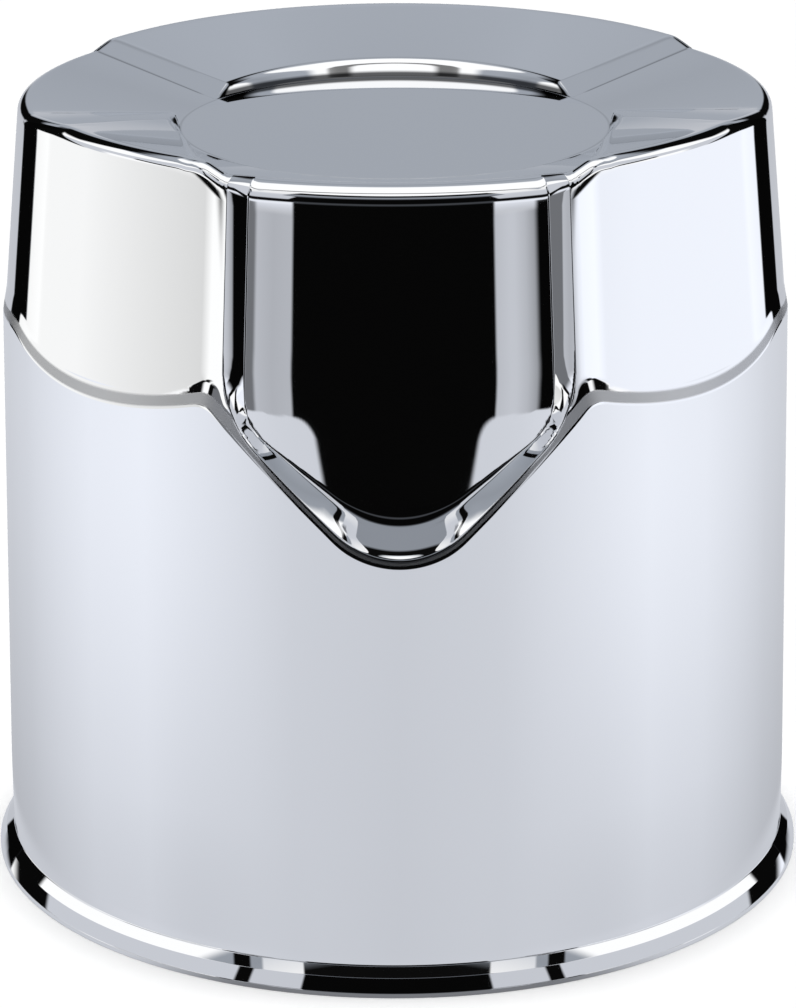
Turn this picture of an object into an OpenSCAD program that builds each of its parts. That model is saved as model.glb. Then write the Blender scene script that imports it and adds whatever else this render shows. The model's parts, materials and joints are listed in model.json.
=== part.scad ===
// Push-through wheel center cap, closed at the crown and open at the bottom: one moulded shell.
// Millimetres. The origin is the centre of the flange's bottom face and +Z runs up to the crown.
// The front pocket faces -Y. Plan angles called "from the front" start at -Y.

/* [Flange] */
// Outer diameter of the flange that stops behind the wheel's bore
flange_d = 112; // [110:0.5:124]
// Height of the flange's outer band
flange_h = 2.15; // [1.5:0.05:4]
// Rise of the flange's top face from the band in to the body
flange_rise = 1.5; // [0.6:0.05:3]
// How far the outer band leans in over its height
flange_lean = 0.95; // [0.3:0.05:1.4]
// Size of the bevel along the flange's bottom edge
flange_bevel = 0.25; // [0.1:0.05:0.6]

/* [Body] */
// Diameter of the pilot, the straight part that slides in the wheel's bore
pilot_d = 108; // [104:0.5:109]
// Length of the pilot above the flange
pilot_len = 10; // [5:1:25]
// Height of the body's upper edge above the flange's bottom
body_h = 74.8; // [60:0.1:110]
// Draft of the body above the pilot, in degrees
body_draft = 0.93; // [0.3:0.01:1.5]
// Wall thickness of the moulding
wall = 2.5; // [1.8:0.1:3.2]

/* [Crown] */
// Height of the crown, from the body's upper edge to the top of the lobes
crown_h = 33.2; // [28:0.1:45]
// How far the crown's face is set in from the body's upper edge
crown_step = 0.3; // [0.2:0.05:1]
// Height of the bevel between the body and the crown
bevel_h = 1.7; // [1:0.1:4]
// Draft of the crown's face, in degrees
crown_draft = 5.3; // [3:0.1:7]
// Radius of the crown's rim
rim_round = 1.5; // [0.5:0.1:2]
// Diameter of the flat disc in the middle of the crown
disc_d = 58; // [46:0.5:66]
// Angle at which the crown rises from the disc to the rim, in degrees
dish_angle = 12.9; // [8:0.1:16]

/* [Lobes] */
// Rise of the lobes above the channels between them
lobe_rise = 1.65; // [0.8:0.05:2.4]
// Width of the sloped wall between the lobes and the disc
lobe_wall_w = 1; // [0.5:0.1:2]
// Half of the rear lobe's angle at its top edges
rear_half = 50; // [35:1:54]
// Angle that each end ramp of the rear lobe takes
rear_ramp = 8; // [4:1:14]
// Angle from the front of the front lobes' rear edge at the rim
side_edge = 58.7; // [48:0.1:66]
// Angle that the front lobes' gentle rear ramp takes at the rim
side_ramp = 16.8; // [8:0.1:20]
// Turn of that ramp's foot from the rim in to the disc, in degrees
side_sweep = 29.3; // [12:0.1:32]
// Width of the sloped wall on each side of the front channel
channel_wall_w = 1.2; // [0.5:0.1:2]

/* [Front pocket] */
// Half of the pocket's angle at its upright sides
pocket_half = 25.2; // [20:0.1:30]
// Depth of the pocket's floor below the body's face, at the pocket's tip
pocket_depth = 3.1; // [2:0.1:5]
// Drop of the pocket's tip below the body's upper edge
pocket_drop = 16.8; // [13:0.1:24]
// Radius of the pocket's rounded tip
tip_r = 12; // [6:0.5:14]
// Draft of the pocket's floor below the crown, in degrees. In the crown it has the crown's draft
floor_draft = 0.93; // [0.5:0.01:2]
// Radius of curvature of the floor across the pocket
floor_curve_r = 61; // [56:1:90]
// Run of the pocket's sloped lower wall for each millimetre of its depth
ramp_run = 1.3; // [0.8:0.05:1.6]
// Run of the pocket's upright side walls for each millimetre of their depth
side_run = 0.95; // [0.6:0.05:1.4]

/* [Hidden] */
$fn = 120;
arc_steps = 8;
clear = 5;

pilot_r = pilot_d / 2;
disc_r = disc_d / 2;
pilot_z = flange_h + flange_rise;
crown_z = body_h + bevel_h;
cap_h = body_h + crown_h;
body_top_r = pilot_r - tan(body_draft) * (body_h - pilot_z - pilot_len);
crown_r = body_top_r - crown_step;
rim_r = crown_face_r(cap_h);
dish_slope = tan(dish_angle);
disc_z = cap_h - lobe_rise - dish_slope * (rim_r - disc_r);
tip_z = body_h - pocket_drop;
floor_r = body_face_r(tip_z) - pocket_depth;
rim_centre_r = rim_r - rim_round;
side_w = crown_r * sin(pocket_half);
side_y = crown_r * cos(pocket_half);
reach = 2 * pilot_r;

// Radius of the body's face above the pilot, at height z
function body_face_r(z) = pilot_r - tan(body_draft) * (z - pilot_z - pilot_len);

// Radius of the crown's face at height z
function crown_face_r(z) = crown_r - tan(crown_draft) * (z - crown_z);

// Height of the channels' shallow cone at radius r, and of the lobes above it
function channel_z(r) = disc_z + dish_slope * (r - disc_r);
function lobe_z(r) = channel_z(r) + lobe_rise;

// Point at radius r, at an angle from the front towards +X, at height z
function polar(r, angle, z) = [r * sin(angle), -r * cos(angle), z];

// Points of a round corner: centre c, radius r, from angle a to angle b
function arc(c, r, a, b) =
    [for (i = [0 : arc_steps]) let (t = a + (b - a) * i / arc_steps) c + r * [cos(t), sin(t)]];

// Half of the section of the solid cap at the lobes' level
function outer_section() = concat(
    [[0, 0], [flange_d / 2 - flange_bevel, 0], [flange_d / 2, flange_bevel],
     [flange_d / 2 - flange_lean, flange_h], [pilot_r, pilot_z], [pilot_r, pilot_z + pilot_len],
     [body_top_r, body_h], [crown_r, crown_z]],
    arc([rim_centre_r, lobe_z(rim_centre_r) - rim_round / cos(dish_angle)], rim_round,
        crown_draft, 90 + dish_angle),
    [[disc_r + lobe_wall_w, lobe_z(disc_r + lobe_wall_w)], [disc_r, disc_z], [0, disc_z]]);

// Half of the section of the hollow, one wall thickness inside the outer faces
function hollow_section() =
    [[0, -clear], [pilot_r - wall, -clear], [pilot_r - wall, pilot_z + pilot_len],
     [body_top_r - wall, body_h], [crown_r - wall, crown_z],
     [rim_r - wall, channel_z(rim_r) - wall], [disc_r, disc_z - wall], [0, disc_z - wall]];

// Half of the section of all that lies above the channels' level, outside the disc
function channel_section() =
    [[disc_r, disc_z], [reach, channel_z(reach)], [reach, channel_z(reach) + reach],
     [disc_r, channel_z(reach) + reach]];

// Everything under the plane through three points, which run so that the plane faces up
module under(p1, p2, p3) {
    n = cross(p2 - p1, p3 - p1);
    translate(p1)
        rotate([0, acos(n.z / norm(n)), atan2(n.y, n.x)])
            translate([-2 * reach, -2 * reach, -4 * reach])
                cube(4 * reach);
}

// One end of the rear lobe: the ramp falls from its top edge to the channel. side is 1 or -1
module rear_end(side) {
    base = 180 - rear_half - rear_ramp;
    top = 180 - rear_half;
    mid_r = (disc_r + rim_r) / 2;
    mirror([side < 0 ? 1 : 0, 0, 0])
        under(polar(disc_r, base, channel_z(disc_r)),
              polar(rim_r, base, channel_z(rim_r)),
              polar(mid_r, top, lobe_z(mid_r)));
}

// Space that a front lobe fills, between its rear ramp and the front channel's side wall
module front_lobe_space() {
    base_rim = side_edge + side_ramp;
    mid_r = (disc_r + rim_r) / 2;
    corner = polar(rim_r, pocket_half, channel_z(rim_r));
    foot = [disc_r, 0, channel_z(disc_r)];
    intersection() {
        under(polar(rim_r, base_rim, channel_z(rim_r)),
              polar(disc_r, base_rim + side_sweep, channel_z(disc_r)),
              polar(mid_r, side_edge + side_sweep / 3, lobe_z(mid_r)));
        under(foot, corner, [corner.x + channel_wall_w, corner.y, corner.z + lobe_rise]);
    }
}

// What is cut away between the lobes, down to the channels
module channels() {
    difference() {
        rotate_extrude() polygon(channel_section());
        intersection() {
            rear_end(1);
            rear_end(-1);
        }
        for (side = [0, 1]) mirror([side, 0, 0]) front_lobe_space();
    }
}

// Outline of the pocket in a plane at a distance y in front of the axis, grown by a margin.
// Upright sides run down to the shoulders, and two straight edges to a rounded tip
function pocket_outline(y, grow) =
    let (behind = side_y - y,
         half_w = side_w - side_run * behind + grow,
         shoulder_z = body_h - grow / 2 + behind / 3,
         r = tip_r + grow / 2,
         centre_z = tip_z + r - grow + ramp_run * (floor_r + pocket_depth - y),
         span = norm([half_w, shoulder_z - centre_z]),
         turn = acos(r / span) - atan2(shoulder_z - centre_z, half_w))
    concat(
        [[half_w, cap_h + clear], [half_w, shoulder_z]],
        arc([0, centre_z], r, -turn, turn - 180),
        [[-half_w, shoulder_z], [-half_w, cap_h + clear]]);

// Half of the section of what stands behind the pocket's floor, round an axis behind the cap's
function floor_section(grow) =
    let (foot_r = floor_curve_r - grow + tan(floor_draft) * tip_z,
         bend_r = foot_r - tan(floor_draft) * crown_z,
         top_z = cap_h + 2 * clear)
    [[0, 0], [foot_r, 0], [bend_r, crown_z], [bend_r - tan(crown_draft) * (top_z - crown_z), top_z],
     [0, top_z]];

// Space of the front pocket: a shield with sloped walls, down to a gently curved floor.
// The same shape, grown by the wall, is kept solid behind it
module pocket(grow = 0) {
    back_y = side_y - pocket_depth;
    front_y = floor_r + 2 * pocket_depth;
    back = pocket_outline(back_y, grow);
    front = pocket_outline(front_y, grow);
    n = len(back);
    difference() {
        polyhedron(
            points = concat(
                [for (p = back) [p.x, -back_y, p.y]],
                [for (p = front) [p.x, -front_y, p.y]]),
            faces = concat(
                [[for (i = [0 : n - 1]) n - 1 - i], [for (i = [0 : n - 1]) n + i]],
                [for (i = [0 : n - 1]) [i, (i + 1) % n, n + i]],
                [for (i = [0 : n - 1]) [n + i, (i + 1) % n, n + (i + 1) % n]]));
        translate([0, floor_curve_r - floor_r, 0])
            rotate_extrude() polygon(floor_section(grow));
    }
}

// The whole moulding: flange, body and crown, hollow from below, with an even wall
module cap_shell() {
    color([0.8, 0.82, 0.85])
    difference() {
        rotate_extrude() polygon(outer_section());
        channels();
        pocket();
        difference() {
            rotate_extrude() polygon(hollow_section());
            pocket(wall);
        }
    }
}

cap_shell();
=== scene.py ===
"""A chrome push-through wheel center cap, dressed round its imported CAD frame.

Metres, with +Z up and the front pocket at -Y.
"""

import json
import math
import bpy
import numpy as np
from mathutils import Matrix, Vector


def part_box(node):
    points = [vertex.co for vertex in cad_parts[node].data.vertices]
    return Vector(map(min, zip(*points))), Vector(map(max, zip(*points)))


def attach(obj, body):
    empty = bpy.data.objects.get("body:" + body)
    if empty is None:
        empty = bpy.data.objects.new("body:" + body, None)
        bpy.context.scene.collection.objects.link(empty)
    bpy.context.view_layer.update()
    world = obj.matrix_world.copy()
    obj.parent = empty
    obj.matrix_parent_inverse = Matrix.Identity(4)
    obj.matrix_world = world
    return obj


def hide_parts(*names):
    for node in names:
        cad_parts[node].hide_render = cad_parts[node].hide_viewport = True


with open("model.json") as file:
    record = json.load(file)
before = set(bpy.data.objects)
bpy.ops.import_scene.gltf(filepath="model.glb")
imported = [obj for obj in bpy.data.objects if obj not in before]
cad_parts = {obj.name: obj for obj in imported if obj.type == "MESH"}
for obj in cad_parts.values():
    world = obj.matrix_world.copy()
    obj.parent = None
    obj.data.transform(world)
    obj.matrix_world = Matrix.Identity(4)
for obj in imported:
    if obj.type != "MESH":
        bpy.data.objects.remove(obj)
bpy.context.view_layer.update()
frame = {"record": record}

# Camera
# The lens and place of the photograph's camera, fitted to the round edges of the flange and the crown.
# It stands almost square to the front pocket, a little above the cap.
view_turn = math.radians(-0.55)
view_height = math.radians(18.99)
view_roll = math.radians(-0.187)
view_distance = 0.5532
aim_right = 0.00025
aim_up = 0.04802
photo_high = 1008
focal_pixels = 4009.2

back = Vector((
    math.sin(view_turn) * math.cos(view_height),
    -math.cos(view_turn) * math.cos(view_height),
    math.sin(view_height),
))
level_right = Vector((math.cos(view_turn), math.sin(view_turn), 0.0))
level_up = back.cross(level_right)
right = math.cos(view_roll) * level_right + math.sin(view_roll) * level_up
up = back.cross(right)
eye = level_right * aim_right + Vector((0.0, 0.0, aim_up)) + back * view_distance

camera_data = bpy.data.cameras.new("camera")
camera_data.sensor_fit = "AUTO"
camera_data.sensor_width = 36.0
camera_data.lens = focal_pixels / photo_high * camera_data.sensor_width
camera_data.clip_start = 0.01
camera = bpy.data.objects.new("camera", camera_data)
bpy.context.collection.objects.link(camera)
camera.matrix_world = Matrix.Translation(eye) @ Matrix((right, up, back)).transposed().to_4x4()
bpy.context.scene.camera = camera


# Cap shell
# The whole cap is one injection moulding of ABS in an even wall: flange, body and crown.
# It is drawn as one closed skin, worked out on meridians round the axis,
# so that every edge has its fillet.
mm = 0.001
shell_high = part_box("cap_shell")[1]
pilot = next(m for m in frame["record"]["mounts"] if m["name"] == "pilot")
wall = 2.5 * mm


def lower(p, q, band):
    """The smaller of p and q, rounded by a parabola where they differ by less than band."""
    near = np.maximum(band - np.abs(p - q), 0.0)
    return np.minimum(p, q) - near * near / (4.0 * band)


def higher(p, q, band):
    """The larger of p and q, rounded by a parabola where they differ by less than band."""
    return -lower(-p, -q, band)


def ease(low, high, value):
    """0 below low, 1 above high, and the smooth cubic 3t^2 - 2t^3 between them."""
    t = np.clip((value - low) / (high - low), 0.0, 1.0)
    return t * t * (3.0 - 2.0 * t)


# The body: a straight pilot above the flange, then a slight draft
flange_r = shell_high.x
body_r = pilot["dims"]["r_mm"] * mm
body_foot = pilot["pos_m"][2] - pilot["dims"]["length_mm"] / 2 * mm
draft_from = body_foot + pilot["dims"]["length_mm"] * mm
body_draft = math.tan(math.radians(0.93))


def body_face(z):
    """Radius of the body: constant up to the end of the pilot, then shrinking by the draft."""
    return body_r - body_draft * np.maximum(z - draft_from, 0.0)


# The body's upper edge: a shallow curve under each lobe, and a rounded V under the front pocket
edge_low = 74.9 * mm
front_lobe_mid = 48.0
front_lobe_bend = 0.0062 * mm
rear_lobe_bend = 0.0003 * mm
edge_crest = 1.2 * mm
unroll_r = 52.8 * mm
v_slope = 0.97
v_apex = 53.1 * mm
v_round = 12.2 * mm
v_corner = 1.6 * mm


def valley_inside(turn, z, slope, apex, radius):
    """Distance inside a V on the unrolled body: to its straight sides, or to the arc round its tip."""
    u = np.abs(turn) * unroll_r
    leg = math.hypot(1.0, slope)
    centre = apex + radius * leg
    to_side = (z - apex - slope * u) / leg
    to_tip = radius - np.hypot(u, z - centre)
    return np.where(u < (centre - z) * slope, to_tip, to_side)


def valley_line(turn, slope, apex, radius):
    """Height of the V at each turn: the arc round its tip, then the straight side."""
    u = np.abs(turn) * unroll_r
    leg = math.hypot(1.0, slope)
    tip = apex + radius * leg - np.sqrt(np.maximum(radius ** 2 - u * u, 0.0))
    return np.where(u < radius * slope / leg, tip, apex + slope * u)


def lobe_edge(turn):
    """Height of the body's edge under the lobes: two parabolas in the turn, joined in a crest."""
    deg = np.degrees(np.abs(turn))
    front = edge_low + front_lobe_bend * (deg - front_lobe_mid) ** 2
    rear = edge_low + rear_lobe_bend * (180.0 - deg) ** 2
    return lower(front, rear, edge_crest)


def edge_height(turn):
    """Height of the body's upper edge: the lobes' curve or the V, whichever is lower."""
    return lower(valley_line(turn, v_slope, v_apex, v_round), lobe_edge(turn), v_corner)


# The crown's face: set in by a narrow bevel, then a steeper draft up to the rim
bevel_run = 6.0
crown_step = 0.28 * mm
crown_z = 77.3 * mm
crown_r = 52.7 * mm
crown_draft = math.tan(math.radians(5.3))
bevel_fillet = 0.022 * mm


def crown_face(turn, z):
    """Radius of body and crown without the pocket: the body, a bevel from its edge, the lobes' cone."""
    body = body_face(z)
    in_v = valley_inside(turn, z, v_slope, v_apex, v_round)
    inside = higher(z - lobe_edge(turn), in_v, v_corner)
    cone = crown_r - crown_draft * (z - crown_z)
    crown = lower(cone, body - crown_step, bevel_fillet)
    return lower(body, higher(body - inside / bevel_run, crown, bevel_fillet), bevel_fillet)


# The front pocket: between an outer and an inner outline its wall runs straight down to a curved floor.
# The inner V is blunter than the outer one, so the lower wall is wide at the tip, steep at the shoulders
pocket_half = math.radians(24.8)
pocket_chamfer = 0.85 * mm
pocket_corner = 5.0 * mm
foot_half = math.radians(22.45)
foot_slope = 0.73
foot_apex = 59.58 * mm
foot_tip = 15.0 * mm
foot_corner = 3.0 * mm
floor_bend = 79.0 * mm
floor_r = 49.9 * mm
floor_curve = 61.0 * mm
floor_low = math.tan(math.radians(0.93))
floor_high = math.tan(math.radians(5.3))
floor_ease = 0.23 * mm
lip_side = 0.04 * mm
lip_tip = 0.12 * mm
fillet_side = 0.12 * mm
fillet_tip = 0.6 * mm
tip_from = math.radians(21.5)
tip_to = math.radians(13.0)
least_run = 0.3 * mm


def pocket_floor(turn, z):
    """Radius of the pocket's floor: a larger round cone, set back on the axis, bent at the crown."""
    above = z - floor_bend
    middle = lower(-floor_low * above, -floor_high * above, floor_ease)
    set_back = floor_curve - floor_r
    across = (floor_curve + middle) ** 2 - (set_back * np.sin(turn)) ** 2
    return np.sqrt(across) - set_back * np.cos(turn)


def side_face(turn, z):
    """Radius of the whole outside above the flange, with the pocket let into the crown and the body."""
    face = crown_face(turn, z)
    in_v = valley_inside(turn, z, v_slope, v_apex, v_round) - pocket_chamfer
    in_foot = valley_inside(turn, z, foot_slope, foot_apex, foot_tip)
    outer = lower((pocket_half - np.abs(turn)) * unroll_r, in_v, pocket_corner)
    inner = lower((foot_half - np.abs(turn)) * unroll_r, in_foot, foot_corner)
    down = outer / np.maximum(outer - inner, least_run)
    base = pocket_floor(turn, z)
    tip = ease(tip_from, tip_to, np.abs(turn))
    pocket = higher(base, face - (face - base) * down, fillet_side + (fillet_tip - fillet_side) * tip)
    return lower(face, pocket, lip_side + (lip_tip - lip_side) * tip)


# The crown's top: a flat disc, a shallow cone round it, and three lobes raised on the cone
disc_r = 29.0 * mm
disc_z = 101.6 * mm
dish = math.tan(math.radians(12.9))
rim_r = 49.9 * mm
lobe_rise = 1.65 * mm
lobe_foot_r = 28.6 * mm
lobe_wall = 1.35 * mm
rear_arch = 1.7 * mm
arch_middle = 0.12
rear_top = math.radians(130.0)
rear_base = math.radians(122.0)
side_top_rim = math.radians(58.7)
side_top_disc = math.radians(80.0)
side_base_rim = math.radians(75.5)
side_base_disc = math.radians(104.8)
crease = 0.03 * mm
wall_fillet = 0.5 * mm


def at(r, turn, z):
    """The point at radius r, turned by an angle from the front towards +X, at height z."""
    return np.array([r * math.sin(turn), -r * math.cos(turn), z])


def plane(p, q, s):
    """The plane through three points, as a function that gives its height over (x, y)."""
    n = np.cross(q - p, s - p)
    return lambda x, y: p[2] - (n[0] * (x - p[0]) + n[1] * (y - p[1])) / n[2]


def channel_height(r):
    """Height of the disc and the channels: flat, then rising in a cone."""
    return disc_z + higher(dish * (r - disc_r), np.zeros_like(r), crease)


channel_rim = disc_z + dish * (rim_r - disc_r)
lobe_mid_r = (disc_r + rim_r) / 2
lobe_mid_z = disc_z + dish * (lobe_mid_r - disc_r) + lobe_rise
rear_ramp = plane(
    at(disc_r, rear_base, disc_z),
    at(rim_r, rear_base, channel_rim),
    at(lobe_mid_r, rear_top, lobe_mid_z),
)
side_ramp = plane(
    at(disc_r, side_base_disc, disc_z),
    at(rim_r, side_base_rim, channel_rim),
    at(lobe_mid_r, (side_top_rim + side_top_disc) / 2, lobe_mid_z),
)


# The lobes' walls along the front channel: they start steep at the disc and lie flatter towards the rim
flank_from = 28.7 * mm
flank_taper = 0.16
flank_run = 0.8 * mm
flank_widen = 0.046


def flank(x, y):
    """Height of a front lobe's wall: the lobe's rise over a run that grows away from the disc."""
    foot = flank_from + flank_taper * y
    run = flank_run - flank_widen * np.minimum(y, 0.0)
    return (x - foot) * lobe_rise / run


def top_height(r, turn):
    """Height of the crown's top: the lowest of a lobe's planes makes it, and the highest form wins."""
    x = np.abs(r * np.sin(turn))
    y = -r * np.cos(turn)
    channel = channel_height(r)
    lobe = channel + lobe_rise
    inner = disc_z + (r - lobe_foot_r) * lobe_rise / lobe_wall
    arch = lobe + rear_arch * (arch_middle - 1.0 + y / r)
    rear = lower(lower(arch, rear_ramp(x, y), crease), inner, wall_fillet)
    front = lower(lower(lobe, side_ramp(x, y), crease), channel + flank(x, y), wall_fillet)
    front = lower(front, inner, wall_fillet)
    return higher(channel, higher(rear, front, crease), crease)


# The rim: a round edge between the crown's top and its face, on every meridian.
# It is wider over the pocket
rim_round = 1.5 * mm
rim_front = 2.7 * mm
rim_front_to = math.radians(21.5)
rim_round_from = math.radians(26.5)
rise_span = 3.0 * mm
least_rise = 0.12
most_rise = 0.32


def rim_arc(turn):
    """The circle tangent to top and face on each meridian: radius, centre, and the angles of both."""
    widened = ease(rim_front_to, rim_round_from, np.abs(turn))
    radius = rim_front + (rim_round - rim_front) * widened
    z_rim = top_height(np.full_like(turn, rim_r), turn)
    z_in = top_height(np.full_like(turn, rim_r - rise_span), turn)
    rise = np.clip((z_rim - z_in) / rise_span, least_rise, most_rise)
    z_low = z_rim - 4.0 * radius
    r_low = side_face(turn, z_low)
    lean = (side_face(turn, z_low + radius) - r_low) / radius
    tilt = np.arctan(rise)
    draft = np.arctan(-lean)
    # The centre lies one radius inside both lines, which are
    # z = z_rim + rise (r - rim_r) and r = r_low + lean (z - z_low)
    top_c = z_rim - radius / np.cos(tilt)
    low_c = r_low - radius / np.cos(draft)
    centre_r = (low_c + lean * (top_c - rise * rim_r - z_low)) / (1.0 - lean * rise)
    centre_z = top_c + rise * (centre_r - rim_r)
    return radius, centre_r, centre_z, tilt, draft


def spaced(knots, counts):
    """Values through the knots, with counts[i] even steps between knot i and knot i + 1."""
    parts = [np.linspace(a, b, n, endpoint=False) for a, b, n in zip(knots[:-1], knots[1:], counts)]
    return np.concatenate(parts + [knots[-1:]])


# Meridians from the front to the rear, in degrees, dense where the pocket's and the lobes' edges lie.
# On the crown's top they run along the lobes' edges, in to a ring round the disc
ring_r = 31.5 * mm
turn_knots = [0, 21.9, 22.3, 22.6, 24.6, 24.95, 26.2, 30, 57, 62, 73, 78,
              121, 121.8, 122.2, 123, 128.5, 131.5, 180]
turn_steps = [50, 5, 14, 16, 16, 8, 16, 34, 10, 22, 10, 18, 3, 2, 3, 6, 8, 22]
rim_turn = spaced(turn_knots, turn_steps)
edges_at_rim = [0, 24.8, 27.3, 58.7, 75.5, 122, 180]
edges_at_disc = [0, 53.3, 60.4, 75.5, 97.9, 122, 180]
disc_turn = np.interp(rim_turn, edges_at_rim, edges_at_disc)
rim_turn = np.radians(np.concatenate([-rim_turn[:0:-1], rim_turn[:-1]]))
disc_turn = np.radians(np.concatenate([-disc_turn[:0:-1], disc_turn[:-1]]))

rim_radius, centre_r, centre_z, tilt, draft = rim_arc(rim_turn)
arc_top_r = centre_r - rim_radius * np.sin(tilt)
arc_low_z = centre_z + rim_radius * np.sin(draft)
columns = len(rim_turn)

# Rows over the disc and the ring round it, then along a straight line to the rim on each meridian
disc_rows = spaced([0.25 * disc_r, 0.96 * disc_r, 30.2 * mm, ring_r], [3, 18, 5])[:, None]
disc_x = disc_rows * np.sin(disc_turn)
disc_y = -disc_rows * np.cos(disc_turn)
outer_x = arc_top_r * np.sin(rim_turn)
outer_y = -arc_top_r * np.cos(rim_turn)
along = spaced([0.0, 0.3, 1.0], [10, 14])[1:, None]
top_x = np.concatenate([disc_x, disc_x[-1] + (outer_x - disc_x[-1]) * along])
top_y = np.concatenate([disc_y, disc_y[-1] + (outer_y - disc_y[-1]) * along])
top_r = np.hypot(top_x, top_y)
top_turn = np.arctan2(top_x, -top_y)
top_z = top_height(top_r, top_turn)

# Towards the rim the top is led gently into the start of the arc
lead_from = 42.0 * mm
arc_top_z = centre_z + rim_radius * np.cos(tilt)
top_z = top_z + (arc_top_z - top_z[-1]) * ease(lead_from, arc_top_r, top_r)

# Rows round the rim's arc
sweep = np.linspace(0.0, 1.0, 14)[1:-1, None]
arc_angle = np.pi / 2 + tilt + (draft - np.pi / 2 - tilt) * sweep
arc_r = centre_r + rim_radius * np.cos(arc_angle)
arc_z = centre_z + rim_radius * np.sin(arc_angle)

# Rows down the crown, dense round the bevel and the pocket's wall, which they follow
edge = edge_height(rim_turn)
foot_line = np.minimum(valley_line(rim_turn, foot_slope, foot_apex, foot_tip), edge + 5.5 * mm)
foot_line = np.maximum(foot_line, edge + 2.4 * mm)
chamfer_line = edge + pocket_chamfer * math.hypot(1.0, v_slope)


def between(start, end, counts):
    """Rows from one height line to the next in even steps, without the first."""
    return start + (end - start) * spaced([0.0, 1.0], [counts])[1:, None]


side_z = np.concatenate([
    arc_low_z[None, :],
    between(arc_low_z, foot_line + 4.0 * mm, 16),
    between(foot_line + 4.0 * mm, foot_line + 0.9 * mm, 6),
    between(foot_line + 0.9 * mm, foot_line - 0.7 * mm, 12),
    between(foot_line - 0.7 * mm, chamfer_line + 0.25 * mm, 10),
    between(chamfer_line + 0.25 * mm, chamfer_line - 0.25 * mm, 5),
    between(chamfer_line - 0.25 * mm, edge + 0.3 * mm, 4),
    between(edge + 0.3 * mm, edge - 0.3 * mm, 5),
    between(edge - 0.3 * mm, np.full_like(edge, draft_from), 7),
])
side_r = side_face(rim_turn, side_z)

# Rows of the flange, from the pilot's foot out over two sloped bands and down to the mouth
foot_fillet = 0.35 * mm
band_corner = (55.05 * mm, 2.38 * mm)
band_fillet = 0.35 * mm
hem_corner = (flange_r, 0.65 * mm)
hem_fillet = 0.3 * mm


def rounded(corner, before, after, radius, steps):
    """Points of the arc that rounds a corner between the points before and after it."""
    c = np.array(corner)
    a = (np.array(before) - c) / np.linalg.norm(np.array(before) - c)
    b = (np.array(after) - c) / np.linalg.norm(np.array(after) - c)
    half = math.acos(float(np.clip(a @ b, -1.0, 1.0))) / 2.0
    start = c + a * radius / math.tan(half)
    end = c + b * radius / math.tan(half)
    centre = c + (a + b) / np.linalg.norm(a + b) * radius / math.sin(half)
    t = np.linspace(0.0, 1.0, steps + 1)[:, None]
    chord = start + (end - start) * t - centre
    return list(centre + chord / np.linalg.norm(chord, axis=1)[:, None] * radius)


pilot_at = (body_r, body_foot + 2.0 * mm)
junction = (body_r, body_foot)
flat_end = (flange_r, 0.0)
flange_profile = [pilot_at]
flange_profile += rounded(junction, pilot_at, band_corner, foot_fillet, 6)
flange_profile += rounded(band_corner, junction, hem_corner, band_fillet, 6)
flange_profile += rounded(hem_corner, band_corner, flat_end, hem_fillet, 4)
flange_profile += rounded(flat_end, hem_corner, (body_r, 0.0), foot_fillet * 0.4, 3)
mouth_r = body_r - wall
mouth_round = 0.4 * mm
flange_profile += rounded((mouth_r, 0.0), (body_r, 0.0), (mouth_r, body_foot), mouth_round, 4)
flange_profile = np.array(flange_profile)[:, :, None]

# Rows of the inside, one wall behind the outside, up to a plain roof under the dish
inside_z = np.concatenate([
    spaced([8.0, 55.0], [2])[:, None] * mm + 0.0 * edge,
    edge - 1.0 * mm + (arc_low_z - 4.0 * mm - edge) * spaced([0.0, 1.0], [14])[:, None],
])
inside_r = side_face(rim_turn, inside_z) - wall
roof_rows = spaced([1.0, disc_r / rim_r, 0.2], [4, 2])[1:, None]
roof_r = inside_r[-1] * roof_rows
roof_z = channel_height(roof_r) - wall
roof_z = np.minimum(roof_z, inside_z[-1] + 1.5 * mm)


def ring(r, z):
    """Rows of radii and heights on the rim's meridians, as an array of points."""
    r, z = np.broadcast_arrays(r * np.ones(columns), z * np.ones(columns))
    return np.stack([r * np.sin(rim_turn), -r * np.cos(rim_turn), z], axis=-1)


rows = np.concatenate([
    np.stack([top_x, top_y, top_z], axis=-1),
    ring(arc_r, arc_z),
    ring(side_r, side_z),
    ring(flange_profile[:, 0], flange_profile[:, 1]),
    ring(inside_r, inside_z),
    ring(roof_r, roof_z),
])


def skin(name, rows):
    """A closed mesh from rings of points: quads between rings, and a fan round a pole at each end."""
    n, m = rows.shape[:2]
    poles = np.stack([rows[0].mean(axis=0), rows[-1].mean(axis=0)])
    points = np.concatenate([rows.reshape(-1, 3), poles])
    i, j = np.meshgrid(np.arange(n - 1), np.arange(m), indexing="ij")
    k = (j + 1) % m
    quads = np.stack([i * m + j, (i + 1) * m + j, (i + 1) * m + k, i * m + k], axis=-1).reshape(-1, 4)
    j = np.arange(m)
    k = (j + 1) % m
    fans = np.concatenate([
        np.stack([np.full(m, n * m), j, k], axis=-1),
        np.stack([np.full(m, n * m + 1), (n - 1) * m + k, (n - 1) * m + j], axis=-1),
    ])
    mesh = bpy.data.meshes.new(name)
    mesh.from_pydata(points.tolist(), [], quads.tolist() + fans.tolist())
    mesh.polygons.foreach_set("use_smooth", np.ones(len(mesh.polygons), dtype=bool))
    mesh.update()
    piece = bpy.data.objects.new(name, mesh)
    bpy.context.collection.objects.link(piece)
    return piece


cap = skin("chrome_cap", rows)
inside_mask = np.zeros(len(cap.data.vertices), dtype=np.float32)
outside_rows = len(top_x) + len(arc_r) + len(side_r) + len(flange_profile)
inside_mask[outside_rows * columns:] = 1.0
inside_mask[-2] = 0.0
cap.data.attributes.new("inside", "FLOAT", "POINT").data.foreach_set("value", inside_mask)

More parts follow.
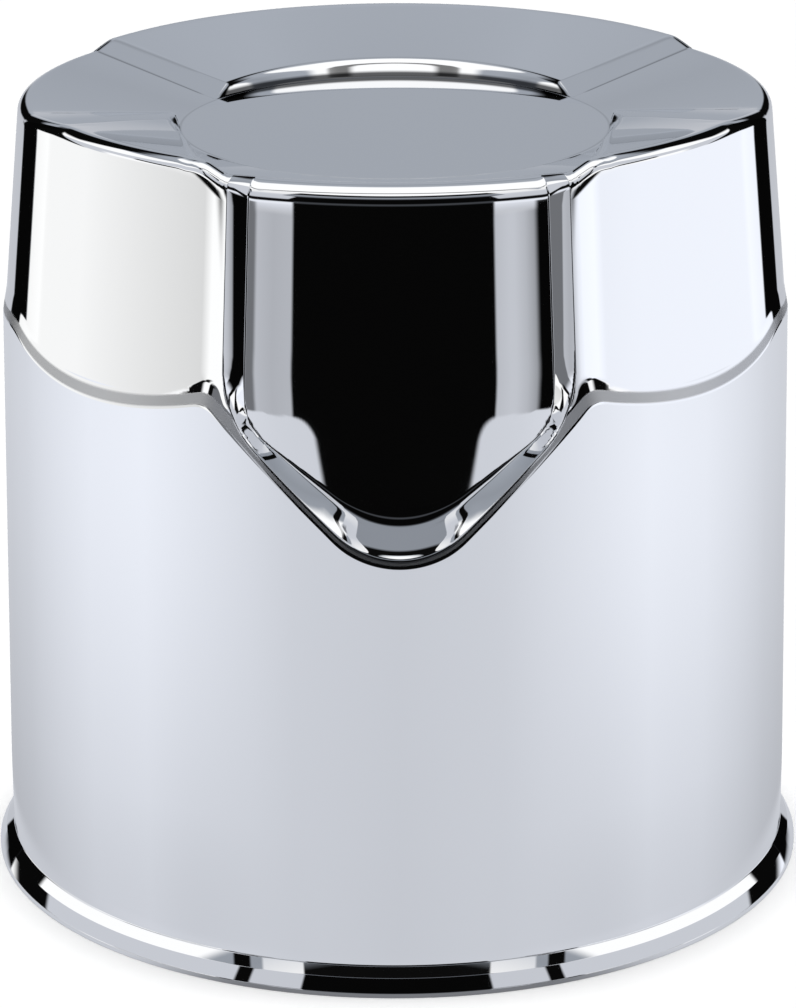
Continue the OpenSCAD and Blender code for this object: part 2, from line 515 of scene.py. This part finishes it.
# The bevel between body and crown is satin between its two bright edges
bevel_width = crown_step * bevel_run
in_valley = valley_inside(rim_turn, side_z, v_slope, v_apex, v_round)
in_bevel = higher(side_z - lobe_edge(rim_turn), in_valley, v_corner)
in_sides = (pocket_half - np.abs(rim_turn)) * unroll_r
in_walls = lower(in_sides, in_valley - pocket_chamfer, pocket_corner)
satin_rows = ease(0.1 * mm, 0.25 * mm, in_bevel)
satin_rows = satin_rows * ease(bevel_width - 0.05 * mm, bevel_width - 0.2 * mm, in_bevel)
satin_rows = satin_rows * ease(-0.1 * mm, -0.3 * mm, in_walls)
satin = np.zeros(len(cap.data.vertices), dtype=np.float32)
first_side = (len(top_x) + len(arc_r)) * columns
satin[first_side:first_side + satin_rows.size] = satin_rows.ravel()
cap.data.attributes.new("satin", "FLOAT", "POINT").data.foreach_set("value", satin)

# Painted shade in thin creases on the crown's top: dark lines at the foot of the rear ramps, and round
# the disc, strongest under the rear lobe
top_deg = np.degrees(np.abs(top_turn))
on_ramp_foot = ease(0.42, 0.0, np.abs(top_deg - 122.0)) * ease(30.5 * mm, 32.0 * mm, top_r) * 0.5
foot_gap = np.abs(top_r - lobe_foot_r - 0.05 * mm)
round_disc = ease(0.28 * mm, 0.0, foot_gap) * 0.3 * ease(44.0, 56.0, top_deg)
under_wall = ease(28.45 * mm, 28.6 * mm, top_r) * ease(29.3 * mm, 29.0 * mm, top_r)
under_wall = under_wall * ease(123.0, 129.0, top_deg)
round_disc = np.maximum(round_disc, 0.95 * under_wall)
painted_crease_shade = np.zeros(len(cap.data.vertices), dtype=np.float32)
painted_crease_shade[:top_r.size] = np.maximum(on_ramp_foot, round_disc).ravel()
cap.data.attributes.new("crease", "FLOAT", "POINT").data.foreach_set("value", painted_crease_shade)

chrome = bpy.data.materials.new("bright_chrome")
chrome.use_nodes = True
nodes = chrome.node_tree.nodes
links = chrome.node_tree.links
shader = nodes["Principled BSDF"]
shader.inputs["Base Color"].default_value = (0.915, 0.922, 0.935, 1.0)
shader.inputs["Metallic"].default_value = 1.0

# Roughness: near mirror outside, satin on the bevel, dull inside, with faint handling haze
haze = nodes.new("ShaderNodeTexNoise")
haze.inputs["Scale"].default_value = 38.0
haze.inputs["Detail"].default_value = 6.0
where = nodes.new("ShaderNodeTexCoord")
links.new(where.outputs["Object"], haze.inputs["Vector"])
haze_range = nodes.new("ShaderNodeMapRange")
haze_range.inputs["From Min"].default_value = 0.35
haze_range.inputs["From Max"].default_value = 0.75
haze_range.inputs["To Min"].default_value = 0.012
haze_range.inputs["To Max"].default_value = 0.04
links.new(haze.outputs["Fac"], haze_range.inputs["Value"])
rough = haze_range.outputs["Result"]
for name, amount in (("satin", 0.3), ("inside", 0.35)):
    mask = nodes.new("ShaderNodeAttribute")
    mask.attribute_name = name
    add = nodes.new("ShaderNodeMath")
    add.operation = "MULTIPLY_ADD"
    add.inputs[1].default_value = amount
    links.new(mask.outputs["Fac"], add.inputs[0])
    links.new(rough, add.inputs[2])
    rough = add.outputs["Value"]
links.new(rough, shader.inputs["Roughness"])

# The satin bevel is a darker grey, and the sharp creases of the crown's top are painted near black, as
# painted shade
colour = shader.inputs["Base Color"].default_value[:]
for name, tone in (("satin", (0.52, 0.525, 0.535, 1.0)), ("crease", (0.05, 0.052, 0.056, 1.0))):
    mask = nodes.new("ShaderNodeAttribute")
    mask.attribute_name = name
    tinted = nodes.new("ShaderNodeMix")
    tinted.data_type = "RGBA"
    links.new(mask.outputs["Fac"], tinted.inputs[0])
    if isinstance(colour, tuple):
        tinted.inputs[6].default_value = colour
    else:
        links.new(colour, tinted.inputs[6])
    tinted.inputs[7].default_value = tone
    colour = tinted.outputs[2]
links.new(colour, shader.inputs["Base Color"])

# Plated plastic is never dead flat: a long, faint waviness bends the reflections a little
wave = nodes.new("ShaderNodeTexNoise")
wave.inputs["Scale"].default_value = 24.0
wave.inputs["Detail"].default_value = 1.0
links.new(where.outputs["Object"], wave.inputs["Vector"])
bump = nodes.new("ShaderNodeBump")
bump.inputs["Strength"].default_value = 0.12
bump.inputs["Distance"].default_value = 0.00012
links.new(wave.outputs["Fac"], bump.inputs["Height"])
links.new(bump.outputs["Normal"], shader.inputs["Normal"])
cap.data.materials.append(chrome)

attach(cap, "root")
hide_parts("cap_shell")


# Studio
# The room is drawn in the world by direction, as the chrome mirrors it: a pale table, bright panels left
# and right, dark gaps between them, the dark room in front and a bright panel overhead. Its grey levels
# were set from values read off the photo's reflections, for the photo's view alone.
# Only the camera sees plain white. The chrome mirrors the drawn room, not that white.
world = bpy.data.worlds.new("studio")
bpy.context.scene.world = world
world.use_nodes = True
# The helpers below add their nodes to this tree: the world's, and later the floor material's
tree = world.node_tree


def maths(operation, *values):
    """A maths node in the tree. Each value is a number or another node's output."""
    node = tree.nodes.new("ShaderNodeMath")
    node.operation = operation
    for socket, value in zip(node.inputs, values):
        if isinstance(value, (int, float)):
            socket.default_value = value
        else:
            tree.links.new(value, socket)
    return node.outputs[0]


def fade(value, low, high):
    """0 at low and 1 at high, with a smooth step between. Low may be the larger one."""
    node = tree.nodes.new("ShaderNodeMapRange")
    node.interpolation_type = "SMOOTHSTEP"
    tree.links.new(value, node.inputs["Value"])
    node.inputs["From Min"].default_value = low
    node.inputs["From Max"].default_value = high
    return node.outputs["Result"]


def strip(value, low, high, soft):
    """1 between low and high, with soft edges."""
    rising = fade(value, low - soft, low + soft)
    return maths("MULTIPLY", rising, fade(value, high + soft, high - soft))


def both(*masks):
    """The product of masks."""
    result = masks[0]
    for mask in masks[1:]:
        result = maths("MULTIPLY", result, mask)
    return result


def grey(level, tint=(1.0, 1.0, 1.0)):
    """The colour that the chrome shows as a grey of this level of 255, with a tint."""
    v = level / 255.0
    v = ((v + 0.055) / 1.055) ** 2.4 / 0.925
    return (v * tint[0], v * tint[1], v * tint[2], 1.0)


def tones(value, low, high, stops):
    """A colour ramp over a range of a value, with a colour at each stop."""
    node = tree.nodes.new("ShaderNodeValToRGB")
    part = maths("DIVIDE", maths("SUBTRACT", value, low), high - low)
    tree.links.new(part, node.inputs["Fac"])
    for k, (at_value, colour) in enumerate(stops):
        place = (at_value - low) / (high - low)
        stop = node.color_ramp.elements[k] if k < 2 else node.color_ramp.elements.new(place)
        stop.position = place
        stop.color = colour
    return node.outputs["Color"]


def laid(under, over, mask):
    """One colour laid over another through a mask. A colour is a tuple or another node's output."""
    node = tree.nodes.new("ShaderNodeMix")
    node.data_type = "RGBA"
    for socket, value in zip((node.inputs[0], node.inputs[6], node.inputs[7]), (mask, under, over)):
        if isinstance(value, (tuple, float, int)):
            socket.default_value = value
        else:
            tree.links.new(value, socket)
    return node.outputs[2]


direction = tree.nodes.new("ShaderNodeTexCoord")
split = tree.nodes.new("ShaderNodeSeparateXYZ")
tree.links.new(direction.outputs["Generated"], split.inputs[0])
side_x, side_y, height_z = split.outputs
degrees = 180.0 / math.pi
around = maths("ARCTAN2", side_x, maths("MULTIPLY", side_y, -1.0))
around = maths("MULTIPLY", around, degrees)
aside = maths("ABSOLUTE", around)
above = maths("MULTIPLY", maths("ARCSINE", height_z), degrees)
warm = (1.0, 1.0, 0.99)
cool = (0.955, 0.985, 1.06)
slate = (0.93, 1.0, 1.12)

# The ceiling and the back of the room, a little darker higher up
scene_light = tones(above, -20.0, 90.0, [
    (-20.0, grey(195, cool)), (0.0, grey(190, cool)), (8.0, grey(166, slate)),
    (22.0, grey(161, slate)), (36.0, grey(172, slate)), (46.0, grey(148, slate)),
    (53.0, grey(164, slate)), (90.0, grey(168, slate)),
])

# Bright panels left and right. Below, each is shaded along its length; above it is even and white
panel_low = tones(around, -180.0, 180.0, [
    (-180.0, grey(195, warm)), (-128.0, grey(255, warm)), (-126.0, grey(247, warm)),
    (-105.0, grey(247, warm)), (-80.0, grey(232, warm)), (-57.0, grey(217, warm)),
    (-55.5, grey(255, warm)), (-49.0, grey(255, warm)), (-43.0, grey(194, warm)),
    (-36.0, grey(188, cool)), (-31.0, grey(177, cool)), (-27.0, grey(181, cool)),
    (25.0, grey(190, cool)), (29.0, grey(200, cool)), (32.5, grey(183, cool)),
    (38.0, grey(100, cool)), (49.5, grey(100, cool)), (54.0, grey(250, cool)),
    (59.0, grey(255, cool)), (62.0, grey(242, cool)), (75.0, grey(245, cool)),
    (125.0, grey(246, cool)), (128.0, grey(253, cool)), (180.0, grey(195, cool)),
])
panel = laid(panel_low, grey(255), fade(above, -4.0, 0.0))
upper_shade = maths("MULTIPLY_ADD", aside, 0.37, maths("SUBTRACT", above, 58.7))
shade_side = both(fade(aside, 93.0, 99.0), fade(above, -3.0, -1.0))
shade_mask = maths("MAXIMUM", fade(above, 7.0, 10.0), shade_side)
panel = laid(panel, grey(203, cool), both(fade(upper_shade, 1.2, -1.2), shade_mask))
panel_mask = both(strip(aside, 24.0, 137.0, 0.5), fade(above, 43.5, 41.5))
scene_light = laid(scene_light, panel, panel_mask)

# The wall between the front opening and the panels
between_panels = tones(above, -20.0, 90.0, [
    (-20.0, grey(188, cool)), (-3.0, grey(188, cool)), (0.0, grey(235, cool)),
    (7.0, grey(235, cool)), (10.0, grey(12)), (21.0, grey(12)), (25.0, grey(200, cool)),
    (38.0, grey(200, cool)), (44.0, grey(205, cool)), (50.0, grey(238)), (90.0, grey(255)),
])
wall_mask = both(strip(aside, 24.0, 47.0, 0.6), fade(above, -4.0, -2.0), fade(above, 58.0, 56.0))
scene_light = laid(scene_light, between_panels, wall_mask)

# The dark end of the panels towards the rear, slanting with the height
rear_edge = maths("SUBTRACT", aside, above)
rear_dark = both(fade(rear_edge, 106.5, 109.5), fade(aside, 139.0, 137.0))
scene_light = laid(scene_light, grey(8), both(rear_dark, strip(above, -3.0, 26.0, 1.5)))

# Dark gaps beside the front opening and behind the panels: each has its tone, its ends round the room
# with their softness, and its foot and head above the horizon with theirs, all in degrees
everything_below = -90.0
gaps = [
    (grey(112, cool), around, (-49.0, -35.5, 0.6), (everything_below, 1.0, 3.0)),
    (grey(8), around, (-50.5, -46.0, 0.5), (-4.0, 20.0, 2.0)),
    (grey(5), around, (35.3, 50.0, 0.8), (everything_below, 1.0, 3.0)),
    (grey(8), around, (46.0, 51.0, 0.5), (-4.0, 20.0, 2.0)),
    (grey(8), aside, (43.0, 47.4, 0.5), (20.0, 41.0, 1.5)),
    (grey(8), aside, (51.0, 56.5, 0.5), (41.0, 54.0, 1.5)),
    (grey(5), aside, (137.0, 152.0, 0.7), (-30.0, 32.0, 2.0)),
    (grey(8), aside, (150.0, 169.0, 2.0), (1.0, 15.0, 2.0)),
    (grey(8), aside, (118.0, 168.0, 3.0), (24.0, 50.0, 3.0)),
]
for tone, measure, ends, heights in gaps:
    scene_light = laid(scene_light, tone, both(strip(measure, *ends), strip(above, *heights)))

# A slanting dark gap along the upper edge of each panel, which widens outwards
slant_middle = maths("MULTIPLY_ADD", aside, 0.43, -26.5)
slant = maths("SUBTRACT", above, slant_middle)
slant_width = maths("MULTIPLY_ADD", fade(aside, 56.0, 74.0), 1.5, 1.6)
slant_mask = fade(maths("SUBTRACT", maths("ABSOLUTE", slant), slant_width), 0.7, -0.7)
scene_light = laid(scene_light, grey(10), both(slant_mask, strip(aside, 52.0, 84.0, 1.0)))

# The dark room in front, where the camera stands
off_front = maths("ABSOLUTE", maths("ADD", around, 0.75))
off_front = maths("MULTIPLY_ADD", fade(above, 12.0, 20.0), -2.0, off_front)
off_front = maths("MULTIPLY_ADD", fade(above, 36.0, 42.0), -5.3, off_front)
front_room = tones(above, -20.0, 90.0, [
    (-20.0, grey(6)), (3.0, grey(6)), (9.0, grey(70, slate)), (15.0, grey(6)), (35.0, grey(6)),
    (38.5, grey(70, slate)), (42.0, grey(140, slate)), (46.5, grey(142, slate)), (49.5, grey(12)),
    (90.0, grey(6)),
])
scene_light = laid(scene_light, front_room, both(fade(off_front, 25.7, 24.8), fade(above, 57.0, 56.0)))

# The bright panel overhead, in two halves with a narrow gap
behind = both(fade(aside, 130.0, 160.0), fade(above, 68.0, 64.0))
overhead = both(fade(above, 56.0, 58.5), maths("SUBTRACT", 1.0, behind))
scene_light = laid(scene_light, grey(256), overhead)
middle_gap = both(strip(side_y, -0.36, -0.29, 0.012), fade(above, 55.0, 62.0))
scene_light = laid(scene_light, grey(120), middle_gap)

# The table: pale and even in front, brighter beside the cap where the panels light it,
# darker close to the cap
table = tones(aside, 0.0, 180.0, [
    (0.0, grey(203, cool)), (30.0, grey(207, cool)), (43.0, grey(213, cool)),
    (62.0, grey(219, cool)), (78.0, grey(226, cool)), (100.0, grey(223, cool)),
    (117.0, grey(214, cool)), (130.0, grey(206, cool)), (137.0, grey(201, cool)),
    (155.0, grey(194, cool)), (180.0, grey(190, cool)),
])
near = maths("MULTIPLY_ADD", fade(above, -25.0, -16.5), 1.0, -0.5)
near = maths("MULTIPLY", near, maths("MULTIPLY_ADD", fade(aside, 20.0, 70.0), 0.27, 0.05))
table_gain = maths("ADD", near, 1.0)
gained = tree.nodes.new("ShaderNodeMix")
gained.data_type = "RGBA"
gained.blend_type = "MULTIPLY"
gained.inputs[0].default_value = 1.0
tree.links.new(table, gained.inputs[6])
tree.links.new(table_gain, gained.inputs[7])
table_edge = maths("MULTIPLY_ADD", fade(aside, 14.0, 26.0), 2.7, -17.7)
table_mask = fade(maths("SUBTRACT", above, table_edge), 0.25, -0.25)
scene_light = laid(scene_light, gained.outputs[2], table_mask)

# The room for the chrome, an even low light for the floor, and white for the camera
path = tree.nodes.new("ShaderNodeLightPath")
light = tree.nodes["Background"]
tree.links.new(scene_light, light.inputs["Color"])
for ray, level in (("Is Diffuse Ray", 0.2), ("Is Camera Ray", 1.0)):
    even = tree.nodes.new("ShaderNodeBackground")
    even.inputs["Color"].default_value = (level, level, level, 1.0)
    choose = tree.nodes.new("ShaderNodeMixShader")
    tree.links.new(path.outputs[ray], choose.inputs[0])
    tree.links.new(light.outputs[0], choose.inputs[1])
    tree.links.new(even.outputs[0], choose.inputs[2])
    light = choose
tree.links.new(light.outputs[0], tree.nodes["World Output"].inputs["Surface"])

# The floor is white, with the cap's narrow contact shadow. The chrome mirrors it as a grey ring close to
# the flange, and as nothing beyond that
floor_mesh = bpy.data.meshes.new("floor")
floor_half = 6.0
floor_mesh.from_pydata([(-floor_half, -floor_half, 0), (floor_half, -floor_half, 0),
                        (floor_half, floor_half, 0), (-floor_half, floor_half, 0)], [], [(0, 1, 2, 3)])
floor = bpy.data.objects.new("floor", floor_mesh)
bpy.context.collection.objects.link(floor)
paper = bpy.data.materials.new("white_floor")
paper.use_nodes = True
tree = paper.node_tree
shader = tree.nodes["Principled BSDF"]
shader.inputs["Base Color"].default_value = (0.8, 0.8, 0.8, 1.0)
shader.inputs["Roughness"].default_value = 1.0
shader.inputs["Specular IOR Level"].default_value = 0.0
shader.inputs["Emission Color"].default_value = (1.0, 1.0, 1.0, 1.0)
shader.inputs["Emission Strength"].default_value = 0.12
place = tree.nodes.new("ShaderNodeTexCoord")
split = tree.nodes.new("ShaderNodeSeparateXYZ")
tree.links.new(place.outputs["Object"], split.inputs[0])
far = maths("SQRT", maths("ADD", maths("POWER", split.outputs[0], 2.0),
                                  maths("POWER", split.outputs[1], 2.0)))
turned = maths("ARCTAN2", split.outputs[0], maths("MULTIPLY", split.outputs[1], -1.0))
# Painted shade on the floor as the chrome mirrors it: the ring is emitted grey, darker in front of the
# cap than at its sides
front_shade_mask = fade(maths("ABSOLUTE", turned), 0.75, 0.35)
shade = laid(grey(200, cool), grey(120, cool), front_shade_mask)
seen = tree.nodes.new("ShaderNodeEmission")
tree.links.new(shade, seen.inputs["Color"])
clear = tree.nodes.new("ShaderNodeBsdfTransparent")
edge_out = tree.nodes.new("ShaderNodeMixShader")
tree.links.new(fade(far, 0.058, 0.063), edge_out.inputs[0])
tree.links.new(seen.outputs[0], edge_out.inputs[1])
tree.links.new(clear.outputs[0], edge_out.inputs[2])
path = tree.nodes.new("ShaderNodeLightPath")
by_ray = tree.nodes.new("ShaderNodeMixShader")
tree.links.new(path.outputs["Is Glossy Ray"], by_ray.inputs[0])
tree.links.new(shader.outputs[0], by_ray.inputs[1])
tree.links.new(edge_out.outputs[0], by_ray.inputs[2])
tree.links.new(by_ray.outputs[0], tree.nodes["Material Output"].inputs["Surface"])
floor_mesh.materials.append(paper)

lamp = bpy.data.lights.new("overhead_sun", "SUN")
lamp.energy = 2.85
lamp.angle = math.radians(12.0)
sun = bpy.data.objects.new("overhead_sun", lamp)
sun.rotation_euler = (math.radians(-1.2), 0.0, 0.0)
sun.visible_glossy = False
bpy.context.collection.objects.link(sun)

bpy.context.scene.view_settings.view_transform = "Standard"
